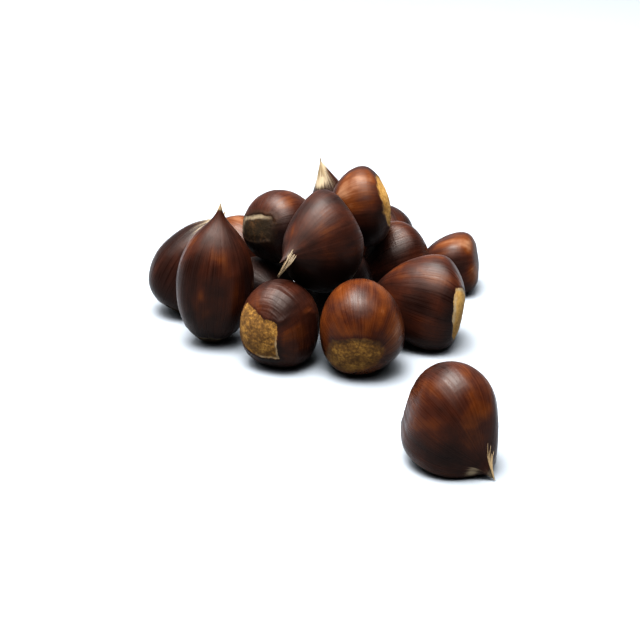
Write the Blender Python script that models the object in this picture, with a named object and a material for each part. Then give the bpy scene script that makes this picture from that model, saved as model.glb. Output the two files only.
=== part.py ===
# A heap of whole chestnuts in their shells, with one more lying in front of it.
# Each chestnut is one closed body: a domed side, a flatter side, a blunt end with the
# pale base patch, a pointed end, and flats where it lay against others in its burr.
# The lower ones stand on the ground plane at z = 0, and the upper ones are lowered
# until they rest on the ones below.

from dataclasses import dataclass
from math import atan2, copysign, cos, exp, hypot, log1p, pi, radians, sin

import bmesh
import bpy
from mathutils import Matrix, Vector
from mathutils.bvhtree import BVHTree

MM = 0.001

# Sections around a chestnut and rings along it.
SEGMENTS = 20
RINGS = 14

# A chestnut's own middle lies this share of its length from the blunt end.
MIDDLE_SHARE = 0.45
# How softly a pressed side turns into the round shell, and the share of it pressed away.
PRESS_SOFTNESS = 1.0 * MM
PRESS_SHARE = 0.8
# Power of the distance along the chestnut at which its nib bends aside.
NIB_POWER = 5

# Depth of the small flat spot on which a chestnut stands.
FLAT_SPOT = 0.3 * MM
# Height kept between a resting chestnut and the ones under it.
RESTING_GAP = 0.5 * MM
# Height from which the upper chestnuts are lowered.
START_HEIGHT = 120 * MM

SHELL_ROUGHNESS = 0.34
SHELL_COLOURS = {
    "shell_dark": (0.060, 0.024, 0.014),
    "shell_red": (0.105, 0.038, 0.018),
    "shell_tan": (0.190, 0.085, 0.035),
}


@dataclass
class Nut:
    """One chestnut: sizes and place in millimetres, angles in degrees."""

    name: str
    # Ground position of its middle, and the bearing and rise of its pointed end.
    x: float
    y: float
    bearing: float
    rise: float
    # Full width, height of the domed and of the flat side, length without the nib.
    width: float
    dome: float
    flat: float
    length: float
    nib: float
    # Turn about its own length.
    roll: float = 0.0
    # Powers of the blunt and of the pointed end: smaller is fuller.
    blunt: float = 0.44
    taper: float = 0.62
    # Reach of the nib's foot, and how far the nib's end leans aside and down.
    neck: float = 2.2
    lean: float = 0.0
    droop: float = 0.0
    # Power that squares the flat side's section: 1 is an ellipse, less is boxier.
    corner: float = 0.8
    # Sides pressed flat in the burr: direction in the heap's own axes, and depth.
    pressed: tuple = ()
    shell: str = "shell_dark"


GROUND_NUTS = [
    Nut("nut_front_centre", 14, -41.8, 90, 15, 28.5, 18.3, 13.7, 34, 1.5, roll=8,
        pressed=((0.6, -0.3, -0.75, 1.2),), shell="shell_red"),
    Nut("nut_front_left", -13.3, -36.3, 63, 5, 26.5, 16.3, 13.7, 30, 1.5,
        pressed=((0.75, -0.65, 0.1, 1.0),)),
    Nut("nut_front_right", 35.3, -18.2, 166, 14, 29, 21, 11.5, 33, 1, blunt=0.3, corner=0.65,
        pressed=((1, 0, 0.5, 3.4), (1, 0, -0.1, 0.6))),
    Nut("nut_upright_left", -36.3, -18, 0, 85, 27, 13.5, 12.6, 44, 6.5, roll=90, blunt=0.56, taper=0.58),
    Nut("nut_inner", 5.5, 1.5, 95, 8, 27.5, 18.5, 12, 27, 3),
    Nut("nut_right_middle", 28.1, 23, 200, -12, 27.5, 18, 13, 26.5, 2, roll=20,
        pressed=((0, -0.75, 0.65, 1.3),)),
    Nut("nut_far_right", 49.1, 33.4, 165, -15, 24.5, 11.3, 10.3, 22.8, 2, roll=20, blunt=0.3, corner=0.7,
        pressed=((-0.35, 0.1, 0.9, 1.2), (1, 0, 0.05, 0.9), (0.1, -0.95, 0.3, 1.2)),
        shell="shell_tan"),
    Nut("nut_left_inner", -21.5, 4.8, 290, 20, 25, 11.5, 11, 27, 4),
    Nut("nut_back_left", -31, 37, 150, 10, 27, 15.6, 12, 30, 1.5, shell="shell_red"),
    Nut("nut_far_left", -45.7, 11.5, 15, 60, 28, 14.8, 11.3, 35.5, 4, blunt=0.35, taper=0.56,
        pressed=((-0.3, -0.9, 0.2, 1.2),)),
    Nut("nut_upright_back", 6.6, 38.5, 180, 81, 25, 12.5, 12, 40, 9.5, roll=90, blunt=0.46, taper=0.7,
        neck=4.8, lean=0.5),
    Nut("nut_back_right", 23.5, 59, 120, 15, 25, 14, 11, 28, 4),
    Nut("nut_back_centre", -16, 62, 40, 10, 28, 13, 10, 30, 4),
    Nut("nut_lone_front", 37.1, -109, 302, -10, 28.5, 20.9, 10.4, 31, 4.5, blunt=0.46, taper=0.36,
        neck=2.6, lean=2, droop=4, corner=0.45, pressed=((-0.95, 0, 0.3, 1.7), (1, 0, 0, 1.9)),
        shell="shell_red"),
]

RESTING_NUTS = [
    Nut("nut_top_front", 0.8, -21, 231, 2, 36, 14, 13, 30, 6, roll=90, lean=0.8,
        pressed=((-0.8, 0.2, 0.6, 2.2), (0.8, 0.2, 0.5, 2.0))),
    Nut("nut_top_left", -13.1, 3.8, 49, -14, 26, 14.1, 12, 29, 3, blunt=0.36,
        pressed=((-0.8, -0.5, -0.35, 1.2),)),
    Nut("nut_top_right", 15.4, 12, 180, -8, 29.2, 12, 11.5, 22, 1.5, roll=90,
        pressed=((0.8, 0, 0.6, 1.0),), shell="shell_red"),
]


def clear_scene():
    for obj in list(bpy.data.objects):
        bpy.data.objects.remove(obj, do_unlink=True)


def make_collection(name):
    collection = bpy.data.collections.new(name)
    bpy.context.scene.collection.children.link(collection)
    return collection


def make_material(name, colour):
    material = bpy.data.materials.new(name)
    material.use_nodes = True
    shader = material.node_tree.nodes["Principled BSDF"]
    shader.inputs["Base Color"].default_value = (*colour, 1.0)
    shader.inputs["Roughness"].default_value = SHELL_ROUGHNESS
    shader.inputs["Metallic"].default_value = 0.0
    return material


def signed_power(value, power):
    return copysign(abs(value) ** power, value)


def girth_share(nut, along):
    """Share of the full girth at a share of the length, from the blunt end's 0 to the point's 1."""
    fullest = nut.blunt / (nut.blunt + nut.taper)
    peak = fullest ** nut.blunt * (1 - fullest) ** nut.taper
    return max(along, 0.0) ** nut.blunt * max(1 - along, 0.0) ** nut.taper / peak


def shell_point(nut, ball):
    """Carries a point of the unit ball to the chestnut: X across, Y to the dome, Z to the point."""
    along = (1 + ball.z) / 2
    share = girth_share(nut, along)
    turn = atan2(ball.y, ball.x)
    if turn >= 0:
        across = cos(turn)
        out = nut.dome * sin(turn)
    else:
        across = signed_power(cos(turn), nut.corner)
        out = nut.flat * signed_power(sin(turn), nut.corner)
    x = nut.width / 2 * share * across
    y = share * out
    z = nut.length * along
    if along > 0.5:
        z += nut.nib * exp(-hypot(x, y) / nut.neck)
    bend = (z / nut.length) ** NIB_POWER
    x += nut.lean * bend
    y -= nut.droop * bend
    return Vector((x, y, z - MIDDLE_SHARE * nut.length)) * MM


def facing(nut):
    """Turns the chestnut's point to its bearing and rise, with the dome upward before the roll."""
    bearing = Matrix.Rotation(radians(nut.bearing), 4, "Z")
    tilt = Matrix.Rotation(pi / 2 - radians(nut.rise), 4, "Y")
    roll = Matrix.Rotation(pi / 2 - radians(nut.roll), 4, "Z")
    return bearing @ tilt @ roll


def press(nut, shell):
    """Presses in the flat sides that its neighbours in the burr leave on a chestnut."""
    back = facing(nut).inverted()
    for *side, depth in nut.pressed:
        normal = (back @ Vector(side)).normalized()
        limit = max(vertex.co.dot(normal) for vertex in shell.verts) - depth * MM
        for vertex in shell.verts:
            beyond = (vertex.co.dot(normal) - limit) / PRESS_SOFTNESS
            vertex.co -= normal * PRESS_SHARE * PRESS_SOFTNESS * log1p(exp(beyond))


def make_shell(nut):
    shell = bmesh.new()
    bmesh.ops.create_uvsphere(shell, u_segments=SEGMENTS, v_segments=RINGS, radius=1)
    for vertex in shell.verts:
        vertex.co = shell_point(nut, vertex.co)
    press(nut, shell)
    return shell


def world_tree(shell, matrix):
    placed = shell.copy()
    placed.transform(matrix)
    tree = BVHTree.FromBMesh(placed)
    points = [vertex.co.copy() for vertex in placed.verts]
    placed.free()
    return tree, points


def height_over(upper, lower):
    """Least upright distance between a chestnut and one under it, or None where neither is over the other."""
    upper_tree, upper_points = upper
    lower_tree, lower_points = lower
    down = Vector((0, 0, -1))
    up = Vector((0, 0, 1))
    hits = [lower_tree.ray_cast(point, down)[3] for point in upper_points]
    hits += [upper_tree.ray_cast(point, up)[3] for point in lower_points]
    return min((hit for hit in hits if hit is not None), default=None)


def stand(nut, shell):
    """Sets a chestnut on the ground with a small flat spot under it."""
    turned = facing(nut)
    lowest = min((turned @ vertex.co).z for vertex in shell.verts)
    matrix = Matrix.Translation((nut.x * MM, nut.y * MM, -lowest - FLAT_SPOT)) @ turned
    back = matrix.inverted()
    for vertex in shell.verts:
        point = matrix @ vertex.co
        if point.z < 0:
            point.z = 0
            vertex.co = back @ point
    return matrix


def rest(nut, shell, placed):
    """Lowers a chestnut from above until it rests on the ones already there."""
    start = Matrix.Translation((nut.x * MM, nut.y * MM, START_HEIGHT)) @ facing(nut)
    above = world_tree(shell, start)
    heights = [height_over(above, other) for other in placed]
    drop = min(height for height in heights if height is not None) - RESTING_GAP
    return Matrix.Translation((0, 0, -drop)) @ start


def add_object(nut, shell, matrix, collection, materials):
    mesh = bpy.data.meshes.new(nut.name)
    shell.to_mesh(mesh)
    mesh.shade_smooth()
    mesh.materials.append(materials[nut.shell])
    obj = bpy.data.objects.new(nut.name, mesh)
    obj.matrix_world = matrix
    collection.objects.link(obj)
    return obj


def centre_on_ground(objects):
    """Puts the origin under the middle of the whole group."""
    corners = [obj.matrix_world @ vertex.co for obj in objects for vertex in obj.data.vertices]
    middle_x = (min(point.x for point in corners) + max(point.x for point in corners)) / 2
    middle_y = (min(point.y for point in corners) + max(point.y for point in corners)) / 2
    for obj in objects:
        obj.matrix_world = Matrix.Translation((-middle_x, -middle_y, 0)) @ obj.matrix_world


def build():
    clear_scene()
    collection = make_collection("chestnuts")
    materials = {name: make_material(name, colour) for name, colour in SHELL_COLOURS.items()}
    placed = []
    objects = []
    for nut in GROUND_NUTS:
        shell = make_shell(nut)
        matrix = stand(nut, shell)
        placed.append(world_tree(shell, matrix))
        objects.append(add_object(nut, shell, matrix, collection, materials))
        shell.free()
    for nut in RESTING_NUTS:
        shell = make_shell(nut)
        matrix = rest(nut, shell, placed)
        placed.append(world_tree(shell, matrix))
        objects.append(add_object(nut, shell, matrix, collection, materials))
        shell.free()
    centre_on_ground(objects)


build()
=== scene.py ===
from dataclasses import dataclass
from math import cos, pi, radians, sin

import bmesh
import bpy
import numpy as np
from mathutils import Matrix, Vector, noise


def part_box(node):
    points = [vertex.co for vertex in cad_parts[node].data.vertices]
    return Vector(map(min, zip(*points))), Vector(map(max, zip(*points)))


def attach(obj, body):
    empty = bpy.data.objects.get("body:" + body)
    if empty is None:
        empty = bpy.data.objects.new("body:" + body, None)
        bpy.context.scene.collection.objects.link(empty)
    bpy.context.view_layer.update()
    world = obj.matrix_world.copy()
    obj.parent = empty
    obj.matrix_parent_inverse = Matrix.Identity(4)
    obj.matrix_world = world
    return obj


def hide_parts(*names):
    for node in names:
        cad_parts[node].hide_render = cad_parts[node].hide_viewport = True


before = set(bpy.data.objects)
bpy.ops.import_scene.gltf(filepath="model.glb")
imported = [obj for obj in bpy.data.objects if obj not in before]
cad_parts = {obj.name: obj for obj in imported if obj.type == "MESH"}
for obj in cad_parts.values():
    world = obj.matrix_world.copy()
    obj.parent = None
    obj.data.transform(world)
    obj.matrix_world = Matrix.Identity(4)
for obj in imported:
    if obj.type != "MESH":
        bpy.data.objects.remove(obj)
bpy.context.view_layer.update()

MM = 0.001

# The solids' own sections around and rings along, used to find each chestnut's place.
SEGMENTS = 20
RINGS = 14
# Where a chestnut's own middle lies along its length.
MIDDLE_SHARE = 0.45
# How softly a pressed side begins, in millimetres, and the share of what lies beyond it
# that is pressed in.
PRESS_SOFTNESS = 1.0
PRESS_SHARE = 0.8
# The higher, the closer to the point its lean and droop stay.
NIB_POWER = 5

# Sections around a detailed shell and rings along it.
AROUND = 128
ALONG = 104

# Forms of the shell in millimetres, and how fine they are around it and along it.
RIB, RIB_GRAIN = 0.08, (6, 0.8)
FINE_RIB, FINE_RIB_GRAIN = 0.05, (15, 1.2)
BAND, BAND_GRAIN = 0.06, (0.9, 11)
SWELL, SWELL_SCALE = 0.30, 0.085
# The level of the noise at which a swell neither rises nor sinks.
SWELL_LEVEL = 0.4
# The base patch ends at this share of the length from the chestnut's middle.
SCAR_TOP = -0.24
# Its depth, the span of its step at the edge, and the height, place and width of the
# raised rim outside it, all in millimetres.
SCAR_DEPTH = 0.25
SCAR_STEP = (-0.3, 0.4)
RIM_HEIGHT, RIM_OUT, RIM_WIDTH = 0.10, 0.5, 0.6
# Noise that makes its outline uneven and its skin rough: strengths and scales.
UNEVEN = ((0.5, 0.30), (0.25, 0.9))
SCAR_ROUGH = 0.14
ROUGH = ((0.6, 0.8), (0.4, 1.7))
# How far to a side of the base patch its pale rim and dark line set in.
EDGE_SPAN = (1, 4.5)
# Distances to a spot of paint count this much across, out and along.
SPOT_STRETCH = (1.0, 1.0, 0.6)
# Every chestnut reads its noises from other places: the steps between them, for its
# shapes and for its patterns, and how many steps it takes up.
SHAPE_STEP = (7.31, 3.17, 5.71)
PATTERN_STEP = (3.7, 1.9, 5.3)
STEPS = 11
# First seed of the chance in the fibres.
FIBRE_SEED = 5

# Straw fibres: sides around and rings along one.
FIBRE_SIDES = 5
FIBRE_RINGS = 12
# The least value and how much more it can be by chance: the shares of a fibre's reach
# down the nib and past it, and its radius in millimetres.
FOOT_SHARE = (0.6, 0.4)
END_SHARE = (0.5, 0.5)
FIBRE_RADIUS = (0.16, 0.12)
# How unevenly the fibres are spaced, from 0 to 1.
SPACING = 0.8
# How far a loose end strays to the sides, and how much more for each millimetre it hangs.
STRAY, STRAY_BY_SAG = 0.4, 0.1
# How far a hanging fibre bows out, in millimetres.
BOW = 0.9
# A fibre's thickness at its foot, how fast it grows from there, and what its point loses.
FOOT_SIZE, FOOT_GROWTH, POINT_LOSS = 0.3, 4, 0.8
# A direction that no fibre follows, to find the sides of one.
ACROSS = (0.3, 0.9, 0.1)
# How wide the streaks' pattern is read around a fibre.
FIBRE_PATTERN = 0.3
# How far the fibres stay above the ground.
FIBRE_LIFT = 0.2 * MM

# Colours by tone: the shell from its darkest to its warmest, the base patch and the straw.
SHELL_STOPS = [
    (0.20, (0.0040, 0.0018, 0.0016)),
    (0.40, (0.0120, 0.0046, 0.0032)),
    (0.52, (0.0235, 0.0074, 0.0040)),
    (0.66, (0.0540, 0.0168, 0.0040)),
    # The warmest stop is pinkish grey: the shell's own warm colour, and also a painted sheen where
    # spots lift the tone this high.
    (0.85, (0.1500, 0.0850, 0.0520)),
]
SCAR_STOPS = [
    (0.10, (0.010, 0.006, 0.0025)),
    (0.30, (0.034, 0.0175, 0.0065)),
    (0.48, (0.080, 0.0420, 0.0130)),
    (0.62, (0.155, 0.0860, 0.0230)),
    (0.82, (0.260, 0.1650, 0.0580)),
]
STRAW_STOPS = [
    (0.30, (0.075, 0.042, 0.017)),
    (0.50, (0.165, 0.117, 0.060)),
    (0.70, (0.260, 0.205, 0.125)),
]
PALE = (0.215, 0.175, 0.12, 1)
# The straw's painted shade: the colour that shaded fibres are darkened towards.
PAINTED_SHADE_STRAW = (0.012, 0.007, 0.004, 1)
STRAW_ROUGHNESS = 0.6

# How fine each pattern of the skin is along its three axes.
FINE = (34, 34, 1.6)
BROAD = (3.6, 3.6, 1.3)
MOTTLE = (0.13, 0.13, 0.08)
SPECK = (1.1, 1.1, 1.1)
BLOTCH = (0.25, 0.25, 0.25)
FINE_BANDS = (0.9, 0.9, 17)
STRAW_GRAIN = (9, 9, 2)
# How much the shell's patterns change its tone.
FINE_TONE, BROAD_TONE, MOTTLE_TONE = 0.14, 0.24, 0.54
# The dark line outside the base patch on one side, a painted shade: the spans over which it rises and
# falls, in millimetres in from the edge, how softly they meet, and its tone.
LINE_RISE, LINE_FALL, LINE_SOFTNESS, SHADE_LINE_TONE = (-2.2, -0.6), (-0.4, 0.3), 0.1, -0.5
# Pale down: the weights of its streaks and of its paint, the span over which it sets in,
# and the span of paint that it needs.
DOWN_STREAKS, DOWN_PAINT, DOWN_SPAN, DOWN_NEEDS = 1.6, 1.3, (1.25, 1.75), (0.02, 0.25)
# Tone of the base patch: its patterns' weights, its usual level, and how much of the
# difference between a chestnut's scar_tone and the usual one counts.
SPECK_TONE, BLOTCH_TONE, SCAR_LEVEL, SCAR_GAIN = 0.75, 0.5, -0.12, 0.35
USUAL_SCAR_TONE = 0.5
# Its ragged edge: how ragged, and how far in.
RAGGED, RAGGED_IN = 0.8, 0.4
# Its pale rim: the spans over which it sets in and ends, and how patchy it is.
RIM_START, RIM_END, RIM_PATCHY = (-0.05, 0.12), (0.45, 1.0), (0.38, 0.58, 0.3, 1.0)
# Roughness of the satin shell, over this span of its fine streaks, and of all dull skin.
SATIN_SPAN, SATIN, DULL_SKIN = (0.36, 0.64), (0.20, 0.44), 0.75
# Fine relief: the weights of the streaks, bands and speckles, its strength and depth.
FINE_RELIEF, BAND_RELIEF, SPECK_RELIEF = 0.5, 1.6, 1.4
RELIEF_STRENGTH, RELIEF_DEPTH = 0.5, 0.22 * MM
SHELL_IOR = 1.24
SHELL_TINT = (1.0, 0.95, 0.9, 1)

# Camera: level distance and height from the heap's own origin, tilt and lens.
CAMERA_BACK = 575 * MM
CAMERA_HEIGHT = 233 * MM
CAMERA_TILT = 22
CAMERA_REACH = 50
LENS = 97.48
SENSOR = 36.0

# The white floor, the lamps above it by size and power, and the room's light, which is
# weaker on the viewer's side.
FLOOR_HALF = 6.0
FLOOR_COLOUR = (0.155, 0.167, 0.180, 1)
FLOOR_ROUGHNESS = 0.6
LAMP_PLACE = (-0.15, -0.14, 1.15)
LAMPS = (((0.8, 0.6), 43), ((1.4, 1.1), 51), ((2.4, 2.0), 44))
ROOM_COLOUR = (0.93, 0.965, 1.0, 1)
ROOM_SPAN = (-0.3, 0.5)
ROOM_STRENGTH = (0.03, 0.45)

# The usual base patch: its outline's corners, across and out, in millimetres.
OVAL = ((10, 0), (8, 5), (0, 7.5), (-8, 5), (-10, 0), (-8, -5), (0, -7.5), (8, -5))


@dataclass
class Nut:
    """One chestnut: sizes in millimetres, angles in degrees."""

    name: str
    # Place of its middle on the ground, the way its point is turned and how far it rises.
    x: float
    y: float
    bearing: float
    rise: float
    # Width, how far the domed and the flatter side stand out, the length without the nib
    # at the point, and the nib.
    width: float
    dome: float
    flat: float
    length: float
    nib: float
    # Turn about its own axis.
    roll: float = 0.0
    # How slender the blunt end and the pointed end are, and how wide the nib's foot is.
    blunt: float = 0.44
    taper: float = 0.62
    neck: float = 2.2
    # How far the nib leans across and droops.
    lean: float = 0.0
    droop: float = 0.0
    # The lower, the squarer the flatter side's corners.
    corner: float = 0.8
    # Sides pressed flat: direction in the heap's axes, and depth in millimetres.
    pressed: tuple = ()
    press_softness: float = PRESS_SOFTNESS
    shell: str = "shell_dark"
    # Outline of the base patch: corners across and out, in millimetres.
    scar: tuple = OVAL
    # The higher, the paler the base patch; low values on patches that lie in shade are painted shade.
    scar_tone: float = USUAL_SCAR_TONE
    # Side of the base patch with a pale rim inside and a dark line of painted shade outside:
    # direction across and out, strength of the rim and of the line, and the rim's width.
    edge: tuple = (0, -1, 0.5, 0.3, 1)
    # Half the width over which the base patch's colour fades into the shell's, in
    # millimetres.
    fade: float = 0.12
    # A raised line on the shell, in millimetres: its height, its width, and the points
    # in the chestnut's own axes that it runs through.
    ridge: tuple = ()
    # Strength of the growth bands that run around the shell.
    bands: float = 0.4
    # Added roughness of the shell's satin.
    dull: float = 0.0
    # How much warmer than usual the whole shell's tone is.
    warmth: float = 0.0
    # Spots of paint: place in the chestnut's own axes and size in millimetres, strength. Most are the
    # shell's own warmer or darker patches; some are painted highlight and painted shade where light
    # falls.
    warm_and_painted_light: tuple = ()
    pale: tuple = ()
    # Height below the tip down to which the pale down reaches, in millimetres.
    down: float = 1.5
    # Straw fibres at the tip: how many, and in millimetres how far down the nib, how far
    # past it, and how far their loose ends hang.
    fibres: int = 5
    fibre_foot: float = 2.5
    fibre_end: float = 0.8
    sag: float = 0.0
    # Side of the nib that the fibres lie on, and how far around it they spread.
    fibre_side: float = 0.0
    fibre_spread: float = 360.0
    # How much darker the fibres are, from 0 to 1: painted shade for a tuft that lies in shade.
    straw_painted_shade: float = 0.0


NUTS = [
    Nut("nut_front_centre", 14, -41.8, 90, 15, 28.5, 18.3, 13.7, 34, 1.5, roll=8,
        pressed=((0.6, -0.3, -0.75, 1.2),), shell="shell_red",
        scar=((11, 1.5), (8.5, 5.4), (3.5, 7), (-1.5, 6.5), (-5.5, 4.4), (-6.8, 0.7), (-4, -3),
              (1.5, -5.5), (6.7, -6.5), (11, -5.5), (12, -2)),
        edge=(0, 1, 0, 0.3, 1), fade=1.1, warmth=0.1,
        warm_and_painted_light=((9.3, 11.4, -7.7, 5, 0.05), (-11.5, 5.6, -9, 4, 0.03))),
    Nut("nut_front_left", -13.3, -36.3, 63, 5, 26.5, 16.3, 13.7, 30, 1.5,
        pressed=((0.75, -0.65, 0.1, 1.0),), edge=(-1, -1, 0.8, 0.4, 1),
        scar=((-5.5, 7), (-5.5, -6), (1, -6.5), (6, -5), (10.5, -2), (12, 3), (11, 8),
              (7.5, 10.8), (3, 9.9), (-0.5, 8.2)),
        # The second warm spot, on the right face, is a painted highlight: a soft lighter band where
        # light falls.
        warm_and_painted_light=((3, 12, -8, 4, 0.08), (-12, 3, -7, 7, 0.12)), bands=3.5, dull=0.1,
        ridge=(0.3, 0.9, (-5.5, 7, -13), (-8.5, 8.6, -7), (-11.9, 7, 0), (-13, 4, 6))),
    Nut("nut_front_right", 35.3, -18.2, 166, 14, 29, 21, 11.5, 33, 1, blunt=0.3, corner=0.65,
        pressed=((1, 0, 0.5, 3.4), (1, 0, -0.1, 0.6)), press_softness=1.6, scar_tone=1.2,
        edge=(0, 1, 0.9, 0.2, 1.5), dull=0.03,
        scar=((8, 15), (11, 11), (11.5, 4.5), (10, -2), (6, -6), (0, -7), (-5, -3), (-6, 4),
              (-2, 11), (4, 14.5)),
        warm_and_painted_light=((8.2, 16.8, -5, 4, 0.12), (12, 8, -8, 4, 0.08), (7.8, 3, 11, 5, 0.04),
              (14, 5, -2, 6, -0.1), (6.3, 14.3, -12, 4, 0.1))),
    Nut("nut_upright_left", -36.3, -18, 0, 85, 27, 13.5, 12.6, 44, 6.5, roll=90,
        blunt=0.56, taper=0.58, scar_tone=-0.6,
        warm_and_painted_light=((-3.9, -12.3, 2, 1.5, 0.14), (-5.6, -11.5, -3, 1.4, 0.14),
              (-4.6, -12, -7, 1.4, 0.12), (-1, -12.4, -4, 1.5, 0.08), (-9, -7, 8, 5, -0.06)),
        down=2.0, fibres=6, fibre_foot=3, fibre_end=0.5,
        ridge=(0.4, 2.2, (7.5, -11.2, -4), (7.8, -11, 3), (7, -10, 9))),
    # nut_inner: its darkened shell and base patch are painted shade, dark where it shows through the
    # gap under the top chestnuts.
    Nut("nut_inner", 5.5, 1.5, 95, 8, 27.5, 18.5, 12, 27, 3, scar_tone=-0.2,
        edge=(0, 1, 0, 0, 1), warmth=-0.25,
        scar=((8, -4), (0, -3), (-8, -4), (-7, -9), (0, -10), (7, -9))),
    Nut("nut_right_middle", 28.1, 23, 200, -12, 27.5, 18, 13, 26.5, 2, roll=20,
        pressed=((0, -0.75, 0.65, 1.3),), warm_and_painted_light=((5.5, 16, -3.5, 4, 0.08), (9, 12, 3, 5, -0.1))),
    Nut("nut_far_right", 49.1, 33.4, 165, -15, 24.5, 11.3, 10.3, 22.8, 2, roll=20,
        blunt=0.3, corner=0.7, shell="shell_tan", dull=0.06,
        pressed=((-0.35, 0.1, 0.9, 1.2), (1, 0, 0.05, 0.9), (0.1, -0.95, 0.3, 1.2)),
        scar=((-5, 1), (-9, 1), (-10, -4), (-6, -8), (-2, -7), (-3, -3)),
        warm_and_painted_light=((2, 10.8, -5, 5, 0.2), (0, 7, -9, 4, 0.14), (10.5, 4, -5, 3, -0.08),
              (9, -0.3, -9, 4, 0.25))),
    Nut("nut_left_inner", -21.5, 4.8, 290, 20, 25, 11.5, 11, 27, 4, warmth=-0.12, dull=0.2),
    Nut("nut_back_left", -31, 37, 150, 10, 27, 15.6, 12, 30, 1.5, shell="shell_red", warmth=0.05,
        warm_and_painted_light=((2.5, 15.3, 0.4, 5, 0.19),)),
    Nut("nut_far_left", -45.7, 11.5, 15, 60, 28, 14.8, 11.3, 35.5, 4, blunt=0.35, taper=0.56,
        pressed=((-0.3, -0.9, 0.2, 1.2),), scar_tone=-0.5, warmth=-0.1, down=4,
        pale=((-3, 6, 19, 6, 0.3), (-4, 8.5, 14, 5, 0.16))),
    Nut("nut_upright_back", 6.6, 38.5, 180, 81, 25, 12.5, 12, 40, 9.5, roll=90, blunt=0.46, taper=0.7,
        neck=4.8, lean=0.5, down=2.5, pale=((3.5, 2, 26, 3, 1.0), (-1, 3.4, 24, 4, 0.36)),
        fibres=14, fibre_foot=7, fibre_end=1.0, fibre_side=20, fibre_spread=150,
        straw_painted_shade=0.15),
    Nut("nut_back_right", 23.5, 59, 120, 15, 25, 14, 11, 28, 4),
    Nut("nut_back_centre", -16, 62, 40, 10, 28, 13, 10, 30, 4),
    Nut("nut_lone_front", 37.1, -109, 302, -10, 28.5, 20.9, 10.4, 31, 4.5, blunt=0.46,
        taper=0.36, neck=2.6, lean=2, droop=4, corner=0.45, shell="shell_red",
        pressed=((-0.95, 0, 0.3, 1.7), (1, 0, 0, 1.9)), pale=((-1.8, -6.5, 18, 2.6, 0.7),),
        fibres=7, fibre_foot=4.6, fibre_end=0.5, fibre_side=62, fibre_spread=60,
        warm_and_painted_light=((-10.3, 8, -5, 6, 0.04), (-12, 3, 0, 4, 0.05), (-9, 14.5, 5, 4, 0.05),
              (2, 12, 13, 5, 0.06), (-12, -2, 8, 6, -0.02), (-6, 8, 13, 4, -0.02),
              (1, 15, 12, 6, 0.08))),
    Nut("nut_top_front", 0.8, -21, 231, 2, 36, 14, 13, 30, 6, roll=90, lean=0.8,
        pressed=((-0.8, 0.2, 0.6, 2.2), (0.8, 0.2, 0.5, 2.0)), press_softness=1.7, dull=0.15,
        down=0.4, fibres=16, fibre_foot=5.5, fibre_end=1.0, sag=4.8, fibre_side=128,
        fibre_spread=50, straw_painted_shade=0.5,
        warm_and_painted_light=((-7, -2, 14, 4, 0.06), (-4, 13, 2, 5, 0.04), (10, 4, 8, 6, -0.12))),
    # nut_top_left: its dark base patch and the two dark spots on its lower side are painted shade,
    # darker towards the bottom where it lies in shade.
    Nut("nut_top_left", -13.1, 3.8, 49, -14, 26, 14.1, 12, 29, 3, blunt=0.36,
        pressed=((-0.8, -0.5, -0.35, 1.2),), scar_tone=-0.6, edge=(0.6, 1, 1.2, 0, 1.8), fade=2.6,
        scar=((10, 2.5), (1.6, 5), (-4, 6), (-6, 4), (-5.5, -2.5), (0, -4.5), (6, -6), (10, -5),
              (11, -1)),
        warm_and_painted_light=((-8, 9, -8, 3, 0.1), (-2, 13, -6, 6, 0.05), (-7, -1, -10, 6, -0.3),
              (3, -7, -9, 6, -0.3))),
    Nut("nut_top_right", 15.4, 12, 180, -8, 29.2, 12, 11.5, 22, 1.5, roll=90,
        pressed=((0.8, 0, 0.6, 1.0),), shell="shell_red", scar_tone=0.95,
        edge=(-1, 2, 0, 0.12, 1), fade=0.6, dull=0.1,
        scar=((-11, 3), (-9, 6.5), (-6.4, 8.1), (-0.2, 9), (5.7, 6.8), (8, 2), (6, -5),
              (0, -7.5), (-7, -6), (-11, -2)),
        # The first three warm spots, on the domed upper part, are partly a paler shell and partly a
        # painted sheen where the top catches the light.
        warm_and_painted_light=((-11, 7.5, 1.7, 6, 0.17), (-7.5, 7.5, 6, 6, 0.16), (-7.3, 9.7, -3, 4, 0.08),
              (7, 10.4, 0.6, 6, -0.08))),
]


def signed_power(value, power):
    return np.copysign(np.abs(value) ** power, value)


def girth_share(nut, along):
    """Girth at each share of the length, of the largest one."""
    fullest = nut.blunt / (nut.blunt + nut.taper)
    peak = fullest ** nut.blunt * (1 - fullest) ** nut.taper
    low = np.maximum(along, 0.0)
    high = np.maximum(1 - along, 0.0)
    return low ** nut.blunt * high ** nut.taper / peak


def shell_points(nut, turn, along):
    """Points of the plain shell in the chestnut's own axes, in millimetres."""
    share = girth_share(nut, along)
    domed = turn >= 0
    across = np.where(domed, np.cos(turn), signed_power(np.cos(turn), nut.corner))
    out = np.where(domed, nut.dome * np.sin(turn), nut.flat * signed_power(np.sin(turn), nut.corner))
    x = nut.width / 2 * share * across
    y = share * out
    z = nut.length * along
    z = z + np.where(along > 0.5, nut.nib * np.exp(-np.hypot(x, y) / nut.neck), 0.0)
    bend = (z / nut.length) ** NIB_POWER
    x = x + nut.lean * bend
    y = y - nut.droop * bend
    return np.stack([x, y, z - MIDDLE_SHARE * nut.length], -1)


def facing(nut):
    """The turn from the chestnut's own axes to the heap's."""
    bearing = Matrix.Rotation(radians(nut.bearing), 3, "Z")
    tilt = Matrix.Rotation(pi / 2 - radians(nut.rise), 3, "Y")
    roll = Matrix.Rotation(pi / 2 - radians(nut.roll), 3, "Z")
    return np.array(bearing @ tilt @ roll)


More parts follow.
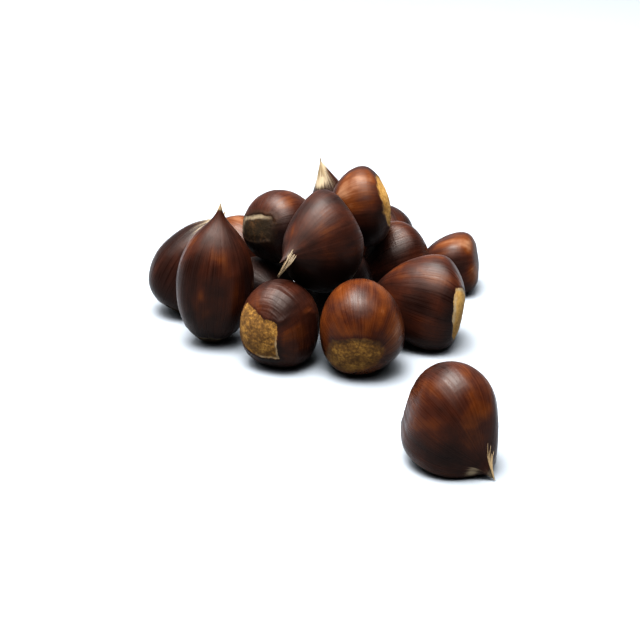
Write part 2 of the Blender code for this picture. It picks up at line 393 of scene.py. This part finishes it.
def solid_points(nut):
    """The points of the chestnut's solid, in its own axes."""
    ball = bmesh.new()
    bmesh.ops.create_uvsphere(ball, u_segments=SEGMENTS, v_segments=RINGS, radius=1)
    co = np.array([vertex.co for vertex in ball.verts])
    ball.free()
    return shell_points(nut, np.arctan2(co[:, 1], co[:, 0]), (1 + co[:, 2]) / 2)


def press(nut, turned, solid, points):
    """Presses the solid's flat sides into it and into the detailed points alike."""
    for *side, depth in nut.pressed:
        normal = turned.T @ np.array(side, float)
        normal /= np.linalg.norm(normal)
        limit = (solid @ normal).max() - depth
        pushed = []
        for cloud, softness in ((solid, PRESS_SOFTNESS), (points, nut.press_softness)):
            beyond = np.logaddexp(0, (cloud @ normal - limit) / softness)
            pushed.append(cloud - np.outer(beyond, normal) * PRESS_SHARE * softness)
        solid, points = pushed
    return solid, points


def place_of(nut, turned, solid):
    """Where the chestnut's own middle lies, so that it fills the box of its solid."""
    points = solid @ turned.T * MM
    low, high = (np.array(corner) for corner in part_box(nut.name))
    middle = (low + high) / 2 - (points.min(0) + points.max(0)) / 2
    middle[2] = high[2] - points[:, 2].max()
    return middle


def grid_angles():
    """Turn and share along for a grid of rings with one point at each end."""
    ring_along = (1 - np.cos(pi * np.arange(1, ALONG) / ALONG)) / 2
    ring_turn = 2 * pi * np.arange(AROUND) / AROUND
    ring_turn = np.where(ring_turn > pi, ring_turn - 2 * pi, ring_turn)
    along, turn = np.meshgrid(ring_along, ring_turn, indexing="ij")
    return (np.concatenate([[0.0], turn.ravel(), [0.0]]),
            np.concatenate([[0.0], along.ravel(), [1.0]]))


def grid_faces():
    """Outward faces between the points of the same grid."""
    faces = []
    last = 1 + (ALONG - 1) * AROUND
    for j in range(AROUND):
        k = (j + 1) % AROUND
        faces.append((0, 1 + k, 1 + j))
        top = 1 + (ALONG - 2) * AROUND
        faces.append((last, top + j, top + k))
        for i in range(ALONG - 2):
            row = 1 + i * AROUND
            faces.append((row + j, row + k, row + AROUND + k, row + AROUND + j))
    return faces


def smooth_step(value, low, high):
    share = np.clip((value - low) / (high - low), 0, 1)
    return share * share * (3 - 2 * share)


def field_noise(points, scale, seed):
    """Smooth noise from about -1 to 1 at each point."""
    shift = Vector([seed * step for step in SHAPE_STEP])
    return np.array([noise.noise(Vector(point) * scale + shift) for point in points])


def layered_noise(points, layers, seed):
    """Sum of smooth noises with the given strengths and scales."""
    return sum(strength * field_noise(points, scale, seed + number)
               for number, (strength, scale) in enumerate(layers))


def grid_normals(points):
    """Outward normals of the grid's points."""
    rings = points[1:-1].reshape(ALONG - 1, AROUND, 3)
    around = np.roll(rings, -1, 1) - np.roll(rings, 1, 1)
    padded = np.concatenate([np.broadcast_to(points[0], (1, AROUND, 3)), rings,
                             np.broadcast_to(points[-1], (1, AROUND, 3))])
    along = padded[2:] - padded[:-2]
    normal = np.cross(around, along)
    normal /= np.maximum(np.linalg.norm(normal, axis=2, keepdims=True), 1e-9)
    return np.concatenate([[[0, 0, -1.0]], normal.reshape(-1, 3), [[0, 0, 1.0]]])


def spot_sum(spots, points):
    """How strongly the spots of paint reach each point."""
    total = np.zeros(len(points))
    for *middle, size, strength in spots:
        far = np.linalg.norm((points - np.array(middle)) * SPOT_STRETCH, axis=1) / size
        total += strength * np.exp(-far ** 2)
    return total


def inside_outline(corners, points):
    """Distance in from a closed outline to each flat point, negative outside it."""
    corners = np.array(corners, float)
    nearest = np.full(len(points), np.inf)
    winding = np.zeros(len(points), bool)
    for start, end in zip(corners, np.roll(corners, -1, 0)):
        side = end - start
        share = np.clip((points - start) @ side / (side @ side), 0, 1)
        nearest = np.minimum(nearest, np.linalg.norm(points - start - np.outer(share, side), axis=1))
        crosses = (start[1] > points[:, 1]) != (end[1] > points[:, 1])
        height = side[1] if side[1] else 1.0
        where = start[0] + (points[:, 1] - start[1]) / height * side[0]
        winding ^= crosses & (points[:, 0] < where)
    return np.where(winding, nearest, -nearest)


def line_distance(corners, points):
    """Distance from each point to a line through the corners."""
    nearest = np.full(len(points), np.inf)
    corners = np.array(corners, float)
    for start, end in zip(corners[:-1], corners[1:]):
        side = end - start
        share = np.clip((points - start) @ side / (side @ side), 0, 1)
        nearest = np.minimum(nearest, np.linalg.norm(points - start - np.outer(share, side), axis=1))
    return nearest


def add_attribute(mesh, name, values):
    """Keeps three values at each of the mesh's points for its material."""
    attribute = mesh.attributes.new(name, "FLOAT_VECTOR", "POINT")
    attribute.data.foreach_set("vector", np.ascontiguousarray(values, np.float32).ravel())


def make_piece(name, points, faces, material):
    mesh = bpy.data.meshes.new(name)
    mesh.from_pydata([tuple(point) for point in points], [], faces)
    mesh.update()
    mesh.shade_smooth()
    mesh.materials.append(material)
    piece = bpy.data.objects.new(name, mesh)
    bpy.context.scene.collection.objects.link(piece)
    return piece


TURN, SHARE = grid_angles()
FACES = grid_faces()


def ring_noise(ring, around, along, seed):
    """Noise that is as fine around the shell and along it as the two numbers say."""
    return field_noise(ring * around + np.outer(SHARE, [0, 0, along]), 1.0, seed)


def relief(nut, plain, ring, inside, seed):
    """How far each point stands out from the plain shell, in millimetres."""
    body = np.sin(pi * np.clip(SHARE, 0, 1)) ** 0.5
    ribs = ring_noise(ring, *RIB_GRAIN, seed + 1)
    fine_ribs = ring_noise(ring, *FINE_RIB_GRAIN, seed + 2)
    bands = ring_noise(ring, *BAND_GRAIN, seed + 7)
    swell = field_noise(plain, SWELL_SCALE, seed)
    scar = smooth_step(inside, *SCAR_STEP)
    push = body * (RIB * ribs + FINE_RIB * fine_ribs) + SWELL * (swell - SWELL_LEVEL) * body
    push += body * BAND * nut.bands * bands
    push += -SCAR_DEPTH * scar + RIM_HEIGHT * np.exp(-((inside + RIM_OUT) / RIM_WIDTH) ** 2)
    if nut.ridge:
        height, width, *line = nut.ridge
        push += height * np.exp(-(line_distance(line, plain) / width) ** 2)
    return push + SCAR_ROUGH * scar * layered_noise(plain, ROUGH, seed + 5)


def detailed_shell(nut, turned, seed):
    """Points of the solid and of the shell, in millimetres, and the facts at each point
    of the shell that its material needs."""
    plain = shell_points(nut, TURN, SHARE)
    solid, points = press(nut, turned, solid_points(nut), plain)
    ring = np.stack([np.cos(TURN), np.sin(TURN), np.zeros(len(TURN))], 1)
    # Distance in from the base patch's edge, in millimetres.
    inside = inside_outline(nut.scar, plain[:, :2]) + layered_noise(plain, UNEVEN, seed + 3)
    inside = np.minimum(inside, SCAR_TOP * nut.length - plain[:, 2])
    push = relief(nut, plain, ring, inside, seed)
    points = points + grid_normals(points) * push[:, None]
    tip_height = plain[:, 2].max() - plain[:, 2]
    down = np.exp(-(tip_height / nut.down) ** 2)
    # The spots add the shell's own warm patches and also painted highlights and painted shade.
    warm_and_painted_light = nut.warmth + spot_sum(nut.warm_and_painted_light, plain)
    pale = spot_sum(nut.pale, plain) + down
    # Where the base patch's pale rim and its painted shade line fall.
    *side, rim, line, rim_width = nut.edge
    toward = smooth_step(plain[:, :2] @ np.array(side) / np.linalg.norm(side), *EDGE_SPAN)
    edge = np.stack([toward * rim, toward * line, np.full(len(plain), rim_width)], 1)
    paint = np.stack([warm_and_painted_light, pale, inside], 1)
    streak = ring + np.outer(SHARE, [0, 0, 1.0])
    return solid, points, {"streak": streak, "shape": plain, "paint": paint, "edge": edge}


class Nodes:
    """Shorthand for building one material's node tree."""

    def __init__(self, name):
        self.material = bpy.data.materials.new(name)
        self.material.use_nodes = True
        self.tree = self.material.node_tree
        self.shader = self.tree.nodes["Principled BSDF"]

    def add(self, kind, **settings):
        node = self.tree.nodes.new(kind)
        for key, value in settings.items():
            setattr(node, key, value)
        return node

    def feed(self, socket, value):
        if isinstance(value, bpy.types.NodeSocket):
            self.tree.links.new(value, socket)
        else:
            socket.default_value = value

    def attribute(self, name):
        return self.add("ShaderNodeAttribute", attribute_name=name).outputs["Vector"]

    def stretch(self, vector, scale, shift):
        node = self.add("ShaderNodeMapping")
        self.feed(node.inputs["Vector"], vector)
        node.inputs["Scale"].default_value = scale
        node.inputs["Location"].default_value = shift
        return node.outputs["Vector"]

    def noise(self, vector, scale, shift=(0, 0, 0), detail=2.0, roughness=0.5):
        node = self.add("ShaderNodeTexNoise")
        self.feed(node.inputs["Vector"], self.stretch(vector, scale, shift))
        node.inputs["Scale"].default_value = 1.0
        node.inputs["Detail"].default_value = detail
        node.inputs["Roughness"].default_value = roughness
        return node.outputs["Fac"]

    def math(self, operation, first, second=0.0, third=0.0, clamp=False):
        node = self.add("ShaderNodeMath", operation=operation, use_clamp=clamp)
        self.feed(node.inputs[0], first)
        self.feed(node.inputs[1], second)
        self.feed(node.inputs[2], third)
        return node.outputs[0]

    def span(self, value, low, high, new_low=0.0, new_high=1.0, smooth=False):
        node = self.add("ShaderNodeMapRange", clamp=True)
        if smooth:
            node.interpolation_type = "SMOOTHSTEP"
        self.feed(node.inputs["Value"], value)
        node.inputs["From Min"].default_value = low
        node.inputs["From Max"].default_value = high
        node.inputs["To Min"].default_value = new_low
        node.inputs["To Max"].default_value = new_high
        return node.outputs["Result"]

    def ramp(self, value, stops):
        node = self.add("ShaderNodeValToRGB")
        self.feed(node.inputs["Fac"], value)
        band = node.color_ramp
        while len(band.elements) < len(stops):
            band.elements.new(0.5)
        for element, (place, colour) in zip(band.elements, stops):
            element.position = place
            element.color = (*colour, 1.0)
        return node.outputs["Color"]

    def blend(self, share, first, second):
        node = self.add("ShaderNodeMix", data_type="RGBA")
        self.feed(node.inputs["Factor"], share)
        self.feed(node.inputs[6], first)
        self.feed(node.inputs[7], second)
        return node.outputs[2]

    def blend_value(self, share, first, second):
        node = self.add("ShaderNodeMix", data_type="FLOAT")
        self.feed(node.inputs["Factor"], share)
        self.feed(node.inputs[2], first)
        self.feed(node.inputs[3], second)
        return node.outputs[0]

    def parts(self, vector):
        node = self.add("ShaderNodeSeparateXYZ")
        self.feed(node.inputs[0], vector)
        return tuple(node.outputs)


def shell_colour(nodes, streak, shape, shift, warm_and_painted_light, inside, shade_line_side):
    """Colour of the shell around its base patch, and its fine streaks."""
    fine = nodes.noise(streak, FINE, shift, detail=3, roughness=0.6)
    broad = nodes.noise(streak, BROAD, shift)
    mottle = nodes.noise(shape, MOTTLE, shift, detail=3)
    tone = nodes.math("MULTIPLY_ADD", fine, FINE_TONE, warm_and_painted_light)
    tone = nodes.math("MULTIPLY_ADD", broad, BROAD_TONE, tone)
    tone = nodes.math("MULTIPLY_ADD", mottle, MOTTLE_TONE, tone)
    # A dark line of painted shade just outside the base patch.
    rise = nodes.span(inside, *LINE_RISE)
    fall = nodes.span(inside, *LINE_FALL, 1.0, 0.0)
    line = nodes.math("SMOOTH_MIN", rise, fall, LINE_SOFTNESS)
    tone = nodes.math("MULTIPLY_ADD", nodes.math("MULTIPLY", line, shade_line_side), SHADE_LINE_TONE, tone)
    return nodes.ramp(tone, SHELL_STOPS), fine


def down_share(nodes, pale, fine):
    """Share of the pale down near the point, in fine streaks."""
    down = nodes.math("MULTIPLY_ADD", fine, DOWN_STREAKS, nodes.math("MULTIPLY", pale, DOWN_PAINT))
    down = nodes.span(down, *DOWN_SPAN, smooth=True)
    return nodes.math("MULTIPLY", down, nodes.span(pale, *DOWN_NEEDS))


def base_patch(nodes, nut, shape, shift, inside, rim_side, rim_width):
    """Share and colour of the base patch with its pale rim, and its speckles."""
    speck = nodes.noise(shape, SPECK, shift, detail=4, roughness=0.7)
    blotch = nodes.noise(shape, BLOTCH, shift)
    # A low tone on a patch that lies in shade is painted shade.
    level = (nut.scar_tone - USUAL_SCAR_TONE) * SCAR_GAIN + SCAR_LEVEL
    tone = nodes.math("MULTIPLY_ADD", speck, SPECK_TONE, level)
    tone = nodes.math("MULTIPLY_ADD", blotch, BLOTCH_TONE, tone)
    ragged = nodes.math("MULTIPLY_ADD", speck, RAGGED, nodes.math("SUBTRACT", inside, RAGGED_IN))
    rim_in = nodes.span(ragged, *RIM_START)
    rim_out = nodes.span(nodes.math("DIVIDE", ragged, rim_width), *RIM_END, 1.0, 0.0)
    rim = nodes.math("MULTIPLY", rim_in, rim_out)
    rim = nodes.math("MULTIPLY", rim, nodes.span(blotch, *RIM_PATCHY))
    rim = nodes.math("MULTIPLY", rim, rim_side, clamp=True)
    colour = nodes.blend(rim, nodes.ramp(tone, SCAR_STOPS), PALE)
    return nodes.span(ragged, -nut.fade, nut.fade), colour, speck


def shell_material(nut, seed):
    nodes = Nodes("skin_" + nut.name)
    streak = nodes.attribute("streak")
    shape = nodes.attribute("shape")
    warm_and_painted_light, pale, inside = nodes.parts(nodes.attribute("paint"))
    rim_side, shade_line_side, rim_width = nodes.parts(nodes.attribute("edge"))
    shift = tuple(seed * step for step in PATTERN_STEP)
    colour, fine = shell_colour(nodes, streak, shape, shift, warm_and_painted_light, inside, shade_line_side)
    down = down_share(nodes, pale, fine)
    colour = nodes.blend(down, colour, PALE)
    scar, scar_colour, speck = base_patch(nodes, nut, shape, shift, inside, rim_side, rim_width)
    inputs = nodes.shader.inputs
    nodes.feed(inputs["Base Color"], nodes.blend(scar, colour, scar_colour))
    satin = nodes.span(fine, *SATIN_SPAN, SATIN[0] + nut.dull, SATIN[1] + nut.dull)
    dull = nodes.math("MAXIMUM", scar, down)
    nodes.feed(inputs["Roughness"], nodes.blend_value(dull, satin, DULL_SKIN))
    band = nodes.noise(streak, FINE_BANDS, shift)
    height = nodes.math("MULTIPLY", fine, FINE_RELIEF)
    height = nodes.math("MULTIPLY_ADD", band, BAND_RELIEF * nut.bands, height)
    height = nodes.math("MULTIPLY_ADD", nodes.math("MULTIPLY", speck, scar), SPECK_RELIEF, height)
    bump = nodes.add("ShaderNodeBump")
    bump.inputs["Strength"].default_value = RELIEF_STRENGTH
    bump.inputs["Distance"].default_value = RELIEF_DEPTH
    nodes.feed(bump.inputs["Height"], height)
    nodes.feed(inputs["Normal"], bump.outputs["Normal"])
    inputs["IOR"].default_value = SHELL_IOR
    inputs["Specular Tint"].default_value = SHELL_TINT
    return nodes.material


def straw_material(nut):
    nodes = Nodes("straw_" + nut.name)
    grain = nodes.noise(nodes.attribute("streak"), STRAW_GRAIN, detail=3)
    # A tuft in shade is darkened towards the shaded straw colour, a painted shade.
    colour = nodes.blend(nut.straw_painted_shade, nodes.ramp(grain, STRAW_STOPS), PAINTED_SHADE_STRAW)
    nodes.feed(nodes.shader.inputs["Base Color"], colour)
    nodes.shader.inputs["Roughness"].default_value = STRAW_ROUGHNESS
    return nodes.material


def surface_line(points, angle):
    """The shell's points along one line from the blunt end to the tip."""
    column = round(angle / (2 * pi) * AROUND) % AROUND
    rings = points[1:-1].reshape(ALONG - 1, AROUND, 3)
    return np.concatenate([points[:1], rings[:, column], points[-1:]])


def by_chance(rng, least, more):
    return least + more * rng.random()


def fibre_path(nut, line, angle, down, rng):
    """Middle line of one fibre: up the nib and past it, or hanging from it."""
    foot = nut.fibre_foot * by_chance(rng, *FOOT_SHARE)
    end = nut.fibre_end * by_chance(rng, *END_SHARE)
    aside = (rng.random(3) - 0.5) * (STRAY + STRAY_BY_SAG * nut.sag)
    depth = line[-1, 2] - line[:, 2]
    path = []
    for s in np.linspace(-1, 1, FIBRE_RINGS):
        below = foot * max(-s, 0.0)
        past = max(s, 0.0)
        on_nib = np.array([np.interp(below, depth[::-1], line[::-1, c]) for c in range(3)])
        path.append(on_nib + np.array([0, 0, end]) * past + aside * past)
    if nut.sag:
        loose = path[-1] + down * nut.sag
        bow = np.array([cos(angle), sin(angle), 0]) * BOW
        path = [path[0] + (loose - path[0]) * share + bow * sin(pi * share)
                for share in np.linspace(0, 1, FIBRE_RINGS)]
    return np.array(path)


def fibre_tube(path, radius, number):
    """Rings of points around a fibre, and the place of each in the streaks' pattern."""
    verts, streaks = [], []
    for i, centre in enumerate(path):
        s = i / (FIBRE_RINGS - 1)
        ahead = path[min(i + 1, FIBRE_RINGS - 1)] - path[max(i - 1, 0)]
        ahead /= np.linalg.norm(ahead)
        side = np.cross(ahead, ACROSS)
        side /= np.linalg.norm(side)
        up = np.cross(ahead, side)
        size = radius * min(FOOT_SIZE + s * FOOT_GROWTH, 1) * (1 - POINT_LOSS * s ** 2)
        for turn in 2 * pi * np.arange(FIBRE_SIDES) / FIBRE_SIDES:
            verts.append(centre + size * (cos(turn) * side + sin(turn) * up))
            streaks.append((number + FIBRE_PATTERN * cos(turn), FIBRE_PATTERN * sin(turn), s))
    return verts, streaks


def fibre_faces(first):
    """Faces of the closed tube whose points start at the given number."""
    faces = []
    last = first + (FIBRE_RINGS - 1) * FIBRE_SIDES
    for a in range(first, last, FIBRE_SIDES):
        b = a + FIBRE_SIDES
        for j in range(FIBRE_SIDES):
            n = (j + 1) % FIBRE_SIDES
            faces.append((a + j, a + n, b + n, b + j))
    faces.append(tuple(first + j for j in reversed(range(FIBRE_SIDES))))
    faces.append(tuple(last + j for j in range(FIBRE_SIDES)))
    return faces


def tip_fibres(nut, turned, points, rng):
    """Thin pointed fibres that lie on the nib and end in a loose point past it."""
    down = turned.T @ np.array([0, 0, -1.0])
    verts, faces, streaks = [], [], []
    for number in range(nut.fibres):
        place = (number + SPACING * rng.random()) / nut.fibres - 0.5
        angle = radians(nut.fibre_side + nut.fibre_spread * place)
        path = fibre_path(nut, surface_line(points, angle), angle, down, rng)
        tube, pattern = fibre_tube(path, by_chance(rng, *FIBRE_RADIUS), number)
        faces += fibre_faces(len(verts))
        verts += tube
        streaks += pattern
    return np.array(verts), faces, np.array(streaks)


def build_nut(number, nut):
    """Makes one chestnut's shell and fibres, and returns how far it lies from its place
    in the table."""
    turned = facing(nut)
    solid, points, facts = detailed_shell(nut, turned, number * STEPS + 1)
    middle = place_of(nut, turned, solid)
    world = points @ turned.T * MM + middle
    world[:, 2] = np.maximum(world[:, 2], 0.0)
    shell = make_piece("shell_" + nut.name, world, FACES, shell_material(nut, number + 1))
    for name, values in facts.items():
        add_attribute(shell.data, name, values)
    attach(shell, "root")
    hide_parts(nut.name)
    rng = np.random.default_rng(number + FIBRE_SEED)
    tip_points, tip_faces, tip_streaks = tip_fibres(nut, turned, points, rng)
    tip_world = tip_points @ turned.T * MM + middle
    tip_world[:, 2] = np.maximum(tip_world[:, 2], FIBRE_LIFT)
    tuft = make_piece("tuft_" + nut.name, tip_world, tip_faces, straw_material(nut))
    add_attribute(tuft.data, "streak", tip_streaks)
    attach(tuft, "root")
    return middle[:2] - np.array([nut.x, nut.y]) * MM


def make_floor():
    nodes = Nodes("white_table")
    nodes.shader.inputs["Base Color"].default_value = FLOOR_COLOUR
    nodes.shader.inputs["Roughness"].default_value = FLOOR_ROUGHNESS
    mesh = bpy.data.meshes.new("floor")
    half = FLOOR_HALF
    corners = [(-half, -half, 0), (half, -half, 0), (half, half, 0), (-half, half, 0)]
    mesh.from_pydata(corners, [], [(0, 1, 2, 3)])
    mesh.materials.append(nodes.material)
    floor = bpy.data.objects.new("floor", mesh)
    bpy.context.scene.collection.objects.link(floor)


def add_lamp(size, power):
    """A softbox above the heap, turned towards it."""
    light = bpy.data.lights.new("softbox", "AREA")
    light.shape = "RECTANGLE"
    light.size, light.size_y = size
    light.energy = power
    lamp = bpy.data.objects.new("softbox", light)
    lamp.location = LAMP_PLACE
    lamp.rotation_euler = (-Vector(LAMP_PLACE)).to_track_quat("-Z", "Y").to_euler()
    bpy.context.scene.collection.objects.link(lamp)


def make_world():
    """A white room that darkens towards the viewer's side."""
    world = bpy.data.worlds.new("room")
    bpy.context.scene.world = world
    world.use_nodes = True
    tree = world.node_tree
    background = tree.nodes["Background"]
    place = tree.nodes.new("ShaderNodeTexCoord")
    parts = tree.nodes.new("ShaderNodeSeparateXYZ")
    tree.links.new(place.outputs["Generated"], parts.inputs[0])
    span = tree.nodes.new("ShaderNodeMapRange")
    span.interpolation_type = "SMOOTHSTEP"
    tree.links.new(parts.outputs["Y"], span.inputs["Value"])
    span.inputs["From Min"].default_value, span.inputs["From Max"].default_value = ROOM_SPAN
    span.inputs["To Min"].default_value, span.inputs["To Max"].default_value = ROOM_STRENGTH
    tree.links.new(span.outputs["Result"], background.inputs["Strength"])
    background.inputs["Color"].default_value = ROOM_COLOUR


def make_camera(shift):
    """The viewer's camera, moved with the heap by the given shift."""
    data = bpy.data.cameras.new("camera")
    data.lens = LENS
    data.sensor_width = SENSOR
    data.clip_end = CAMERA_REACH
    camera = bpy.data.objects.new("camera", data)
    camera.location = (shift[0], shift[1] - CAMERA_BACK, CAMERA_HEIGHT)
    camera.rotation_euler = (radians(90 - CAMERA_TILT), 0, 0)
    bpy.context.scene.collection.objects.link(camera)
    bpy.context.scene.camera = camera


shifts = [build_nut(number, nut) for number, nut in enumerate(NUTS)]
make_floor()
make_world()
make_camera(shifts[-1])
for size, power in LAMPS:
    add_lamp(size, power)
bpy.context.scene.view_settings.view_transform = "Standard"
bpy.context.scene.view_settings.look = "High Contrast"
